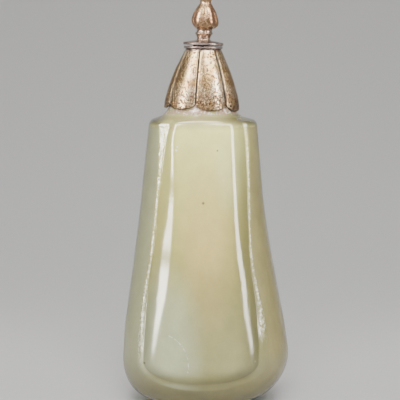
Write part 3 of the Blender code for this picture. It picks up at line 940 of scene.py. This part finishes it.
def panel_colour_and_shading(paint, height):
    """Clouded stone of the panel, yellower up and greener below, with painted light and shade."""
    under_belly = paint.band(height, (9.8, 8.2), (6.2, 7.0))
    return paint.coated(
        # the ramp paints light near the top and shade towards the foot and, in its last two
        # stops, on the shoulder
        paint.ramp(height, 0.0, 82.0, (
            (0.00, (0.15, 0.135, 0.042)), (0.07, (0.16, 0.15, 0.05)), (0.10, (0.23, 0.215, 0.08)),
            (0.19, (0.26, 0.245, 0.095)), (0.34, (0.28, 0.26, 0.093)),
            (0.55, (0.44, 0.395, 0.125)), (0.75, (0.58, 0.53, 0.17)),
            (0.93, (0.76, 0.73, 0.25)), (0.955, (0.50, 0.455, 0.185)),
            (1.00, (0.42, 0.38, 0.16)))),
        ((0.62, 0.42, 0.15), paint.cloud(1.5, 44.0, 9.0, 30.0) * 0.32),
        # painted reflected light low on the left, over a paler bluish tone
        ((0.42, 0.46, 0.29), paint.cloud(-10.5, 16.0, 12.5, 27.0) * 0.6),
        ((0.26, 0.235, 0.06), under_belly * 0.5),
        # painted shade on the right of the panel, over an olive tone
        ((0.24, 0.21, 0.07), paint.cloud(13.0, 40.0, 10.0, 34.0) * 0.5),
        ((0.22, 0.20, 0.06), paint.cloud(2.5, 24.0, 9.0, 16.0) * 0.4),
        ((0.56, 0.60, 0.34), paint.cloud(7.0, 66.0, 5.0, 14.0) * 0.3))


def wall_colour_and_shade(paint, height, across):
    """Plainer stone of the walls, greyer on the left, with painted shade where it curves under.
    """
    facet = paint.blend((0.30, 0.30, 0.165), (0.28, 0.24, 0.095),
                        paint.between(across, -6.0, 6.0))
    facet = paint.tint(facet, 1.0 + paint.between(height, 58.0, 76.0) * 0.16)
    # painted shade where the walls curve under towards the foot
    return paint.blend(facet, (0.125, 0.108, 0.034), paint.between(height, 19.0, 2.0))


def curved_scratch(paint, across, height):
    """The one fine arc scratched low on the left of the panel, with soft ends."""
    reach = ((across + 13.0) ** 2.0 + (height - 12.0) ** 2.0) ** 0.5
    line = paint.between((reach - 9.0).size(), 0.22, 0.05)
    return line * paint.between(across, -10.5, -9.0) * paint.between(height, 9.2, 10.4)


def jade():
    """Polished jade: speckles, a scratch, ground sparkling chamfers, painted glints, and painted
    shade with dirt.
    """
    paint = Paint("polished_jade")
    height = paint.axis("Z")
    across = paint.axis("X")
    front = paint.between(paint.axis("Y"), 0.0, -4.0)
    flank = paint.attribute("flank")
    tooled = paint.attribute("tooled")
    clouds = paint.noise(14.0, 3.0, 0.55)
    mottle = paint.noise(3.2, 4.0, 0.6, (1.0, 1.0, 0.7), 7.0)
    grain = paint.noise(0.7, 4.0, 0.65, shift=3.0)
    specks = paint.noise(0.6, 3.0, 0.7, (1.0, 1.0, 0.7), 13.0)
    chatter = paint.noise(1.0, 1.5, 0.5, (1.0, 1.0, 0.6), 11.0)

    # painted shade on the panel's flanks beside the grooves, deeper on the right
    stone = paint.tint(panel_colour_and_shading(paint, height),
                       1.0 - flank * paint.between(across, -16.0, 16.0) * 0.2 - flank * 0.2)
    shoulder = paint.between(height, 76.4, 78.6)
    under_mount = paint.between(height, 80.1, 81.0)
    stone = paint.coated(
        stone,
        (wall_colour_and_shade(paint, height, across), paint.attribute("wall")),
        # painted shade on the shoulder towards the flanks
        ((0.09, 0.085, 0.042), shoulder * paint.between(across.size(), 8.5, 13.0) * 0.92),
        # painted shade on the right of the front shoulder
        ((0.10, 0.09, 0.04), paint.between(across * front, 3.0, 11.0)
         * paint.between(height, 77.0, 79.0) * 0.85),
        # pinkish residue under the mount, partly a painted reflection of the gilt
        ((0.46, 0.29, 0.22), under_mount * paint.between(mottle, 0.38, 0.52) * 0.85),
        # painted glints on the neck just under the petal tips
        ((0.92, 0.88, 0.80), under_mount * paint.between(grain, 0.54, 0.60) * 0.85),
        # dirt and painted shade in the grooves, most round the panel's foot
        ((0.11, 0.095, 0.03), paint.attribute("dirt") * 0.7))
    stone = paint.tint(stone, 0.81 + clouds * 0.38)
    stone = paint.tint(stone, 0.86 + mottle * 0.28)
    stone = paint.tint(stone, 0.94 + grain * 0.12)

    def spot(x, z, size):
        return paint.cloud(x, z, size, size) * front

    dark = spot(0.05, 56.5, 0.5).most(spot(3.95, 70.9, 0.35)).most(spot(-16.2, 12.3, 0.45))
    pale = (spot(14.3, 13.2, 0.35) * 0.1).most(spot(-7.35, 71.0, 0.45)).most(
        spot(-7.1, 71.9, 0.3))
    scratch = (curved_scratch(paint, across, height) * front
               * paint.between(grain, 0.45, 0.58))
    not_low = paint.between(height - across * 0.2, 13.0, 22.0)
    ground = paint.between(tooled, 0.45, 0.95) * not_low
    stone = paint.coated(
        stone,
        ((0.10, 0.07, 0.035), dark * 0.85),
        ((0.85, 0.85, 0.78), pale * 0.8),
        ((0.75, 0.48, 0.25), spot(-8.1, 77.0, 0.7) * 0.7),
        ((0.75, 0.75, 0.66), scratch * 0.4),
        ((0.88, 0.85, 0.74), ground * paint.between(specks, 0.50, 0.60) * 0.45),
        ((0.17, 0.16, 0.085), ground * paint.between(specks, 0.49, 0.40) * 0.5))
    paint.feed("Base Color", stone)

    rough = paint.between(specks, 0.35, 0.60) * ground
    low_down = paint.between(height, 40.0, 16.0)
    paint.feed("Roughness", 0.085 + grain * 0.04 + ground * 0.03 + rough * 0.11
               + low_down * (0.13 - ground * 0.11))
    paint.feed("IOR", 1.61)
    paint.feed("Specular IOR Level", 1.0)
    paint.feed("Subsurface Weight", 0.3)
    paint.feed("Subsurface Radius", (0.9, 0.8, 0.5))
    paint.feed("Subsurface Scale", 2.5 * MM)
    pitting = paint.between(across * front, 4.0, 12.0) * paint.between(height, 58.0, 40.0)
    paint.bump(grain * 0.08 + chatter * (tooled * (0.6 + not_low * 2.6) + pitting * 0.5)
               - scratch * 0.5, 0.7, 0.12)
    return paint.material


def gilt():
    """Worn silver-gilt, stained olive and copper and pitted; painted highlights and shade on the
    petals, grime and painted shade in the slits.
    """
    paint = Paint("worn_silver_gilt")
    height = paint.axis("Z")
    front = paint.between(paint.axis("Y"), 0.0, -4.0)
    grime = paint.attribute("grime")
    clouds = paint.noise(4.0, 4.0, 0.6)
    coarse = paint.noise(1.5, 4.0, 0.6, shift=9.0)
    speckle = paint.noise(0.75, 4.0, 0.75, shift=5.0)
    fine = paint.noise(0.55, 2.0, 0.5, shift=2.0)

    # painted shade on the upper left of the left petal
    left_petal_shade = paint.cloud(-5.2, 92.5, 1.7, 6.5) * front
    # painted highlights low on the centre and left petals, broken by noise
    painted_highlights = paint.cloud(4.1, 87.0, 2.6, 7.5) * 0.75
    painted_highlights = painted_highlights.most(paint.cloud(-3.2, 85.0, 2.2, 4.5) * 0.5)
    painted_highlights = painted_highlights.most(paint.cloud(-0.2, 86.0, 1.6, 4.0) * 0.3)
    painted_highlights = painted_highlights * front * paint.between(coarse, 0.62, 0.45)
    silver = paint.band(height, (97.4, 98.4), (105.3, 103.4))
    rings = paint.band(height, (98.0, 98.4), (100.9, 100.4))
    upper_rim = paint.band(height, (99.66, 99.80), (100.22, 100.08))
    lower_rim = paint.band(height, (98.74, 98.88), (99.27, 99.13))
    rims = upper_rim.most(lower_rim)
    bud = paint.between(height, 104.5, 105.5)
    bud_sides = bud * paint.between(paint.axis("X").size(), 0.8, 2.6)
    more_below = paint.between(height, 89.0, 83.0) * 0.07
    spots = paint.between(speckle + more_below, 0.53, 0.59) * (1.0 - rims * 0.7)
    pits = (paint.between(fine, 0.55, 0.60) * paint.between(height, 92.0, 84.0)
            * paint.between(coarse, 0.38, 0.48))
    paint.feed("Base Color", paint.coated(
        paint.blend((0.41, 0.265, 0.12), (0.53, 0.395, 0.24),
                    paint.between(clouds, 0.40, 0.60)),
        ((0.40, 0.22, 0.13), paint.between(coarse, 0.54, 0.68) * 0.5),
        ((0.34, 0.29, 0.115), paint.between(coarse, 0.46, 0.34) * 0.5),
        # painted shade on the left petal
        ((0.22, 0.165, 0.09), left_petal_shade * 0.75),
        # painted highlights on the petals
        ((0.88, 0.75, 0.57), painted_highlights),
        ((0.42, 0.32, 0.28), silver * 0.75),
        ((0.17, 0.13, 0.12), rings * 0.95),
        ((0.26, 0.20, 0.18), rims * 0.85),
        ((0.52, 0.32, 0.22), bud * 0.4),
        ((0.42, 0.20, 0.12), bud_sides * 0.6),
        ((0.11, 0.06, 0.04), spots * 0.85),
        ((0.035, 0.015, 0.01), pits * 0.9),
        # grime and painted shade in the slits, under the petal tips and inside the mount
        ((0.03, 0.02, 0.015), grime)))
    paint.feed("Metallic", 0.95 - grime * 0.8 - rims * 0.4)
    paint.feed("Roughness", 0.20 + coarse * 0.10 + spots * 0.25 + grime * 0.4)
    relief = speckle * 0.7 + coarse * 0.5 - spots * 0.6
    paint.bump(relief * (1.0 - rims * 0.8), 0.7, 0.055)
    return paint.material


def pale_paper():
    """Plain matt paper."""
    paint = Paint("pale_floor")
    paint.feed("Base Color", (0.55, 0.545, 0.53))
    paint.feed("Roughness", 0.9)
    return paint.material


# ---------------------------------------------------------------- the set

def finish(piece, material, node):
    """Dress a piece, hang it on the bottle and let it stand for its solid."""
    piece.data.materials.clear()
    piece.data.materials.append(material)
    pick(piece)
    bpy.ops.object.shade_smooth_by_angle(angle=SMOOTH_ANGLE)
    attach(piece, "root")
    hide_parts(node)


def floor():
    """Pale paper that lies under the bottle and sweeps up behind it."""
    paper_size = 4.0
    paper_rise = 2.0
    clear_selection()
    bpy.ops.mesh.primitive_plane_add(size=paper_size, location=(0.0, -0.8, 0.0))
    paper = bpy.context.object
    paper.name = "floor"
    bpy.ops.object.transform_apply(location=True)
    bpy.ops.object.mode_set(mode='EDIT')
    bpy.ops.mesh.select_mode(type='VERT')
    bpy.ops.mesh.select_all(action='DESELECT')
    bpy.ops.object.mode_set(mode='OBJECT')
    for vertex in paper.data.vertices:
        vertex.select = vertex.co.y > 0
    bpy.ops.object.mode_set(mode='EDIT')
    bpy.ops.mesh.extrude_edges_move(TRANSFORM_OT_translate={"value": (0.0, 0.0, paper_rise)})
    bpy.ops.object.mode_set(mode='OBJECT')
    sweep = paper.modifiers.new("sweep", 'BEVEL')
    sweep.width = 0.9
    sweep.segments = 16
    bpy.ops.object.modifier_apply(modifier="sweep")
    bpy.ops.object.shade_smooth()
    paper.data.materials.append(pale_paper())


def softbox(name, place, aim, size, radiance, spread=180.0, lights_up=True, shines=True):
    """Rectangular lamp of size (width, height); radiance is how bright its face looks.

    It is out of the picture, and may only light surfaces up or only shine in them. A lamp
    that only shines is a little warmer.
    """
    light = bpy.data.lights.new(name, 'AREA')
    light.shape = 'RECTANGLE'
    light.size, light.size_y = size
    light.energy = radiance * pi * light.size * light.size_y
    light.spread = radians(spread)
    if not lights_up:
        light.color = (1.0, 0.955, 0.85)
    lamp = bpy.data.objects.new(name, light)
    bpy.context.scene.collection.objects.link(lamp)
    lamp.location = place
    lamp.rotation_euler = (aim - place).to_track_quat('-Z', 'Y').to_euler()
    lamp.visible_camera = False
    lamp.visible_diffuse = lights_up
    lamp.visible_glossy = shines


def tall_softboxes():
    """One at each front corner; their sheen draws the long lights beside the panel."""
    away = 0.5
    turn = radians(62.0)
    aim = Vector((0.0, 0.0, 0.324))
    for side, sheen in ((-1, 22.0), (1, 13.0)):
        place = Vector((side * away * sin(turn), -away * cos(turn), 0.366))
        softbox("tall softbox", place, aim, (0.19, 0.62), 1.5, shines=False)
        softbox("tall softbox sheen", place * 0.99, aim, (0.19, 0.59), sheen, lights_up=False)


def lights():
    """Soft studio light: tall softboxes, smaller ones on the shoulder and mount, a grey room."""
    tall_softboxes()
    mount = Vector((0.0, 0.0, 0.085))
    for name, place, size, radiance in (
            ("left softbox sheen", (-0.175, -0.245, 0.42), (0.15, 0.2), 13.0),
            ("top softbox sheen", (-0.02, 0.10, 0.45), (0.16, 0.24), 10.0),
            ("right softbox sheen", (0.145, -0.25, 0.43), (0.23, 0.17), 13.0)):
        softbox(name, Vector(place), mount, size, radiance, lights_up=False)
    softbox("front softbox", Vector((0.0, -0.45, 0.28)), mount, (0.3, 0.3), 2.5, 46.0,
            shines=False)
    softbox("paper softbox", Vector((0.0, 0.3, 1.2)), Vector((0.0, 1.2, 0.2)), (0.8, 0.4), 6.0,
            shines=False)
    world = bpy.data.worlds.new("soft studio")
    world.use_nodes = True
    world.node_tree.nodes["Background"].inputs["Color"].default_value = (0.3, 0.3, 0.3, 1.0)
    bpy.context.scene.world = world


def camera():
    """Camera a little above the bottle's middle, straight in front of it."""
    distance = 0.8
    elevation = radians(4.0)
    view_size = 0.112
    aim = Vector((-0.00084, 0.0, 0.05628))
    lens = bpy.data.cameras.new("camera")
    lens.sensor_width = 36.0
    lens.lens = lens.sensor_width * distance / view_size
    lens.clip_start = 0.01
    stand = bpy.data.objects.new("camera", lens)
    bpy.context.scene.collection.objects.link(stand)
    stand.location = aim + distance * Vector((0.0, -cos(elevation), sin(elevation)))
    stand.rotation_euler = (aim - stand.location).to_track_quat('-Z', 'Y').to_euler()
    bpy.context.scene.camera = stand


gilding = gilt()
finish(jade_body(), jade(), "jade_body")
finish(petal_mount(), gilding, "petal_mount")
finish(stopper(), gilding, "stopper")
floor()
lights()
camera()
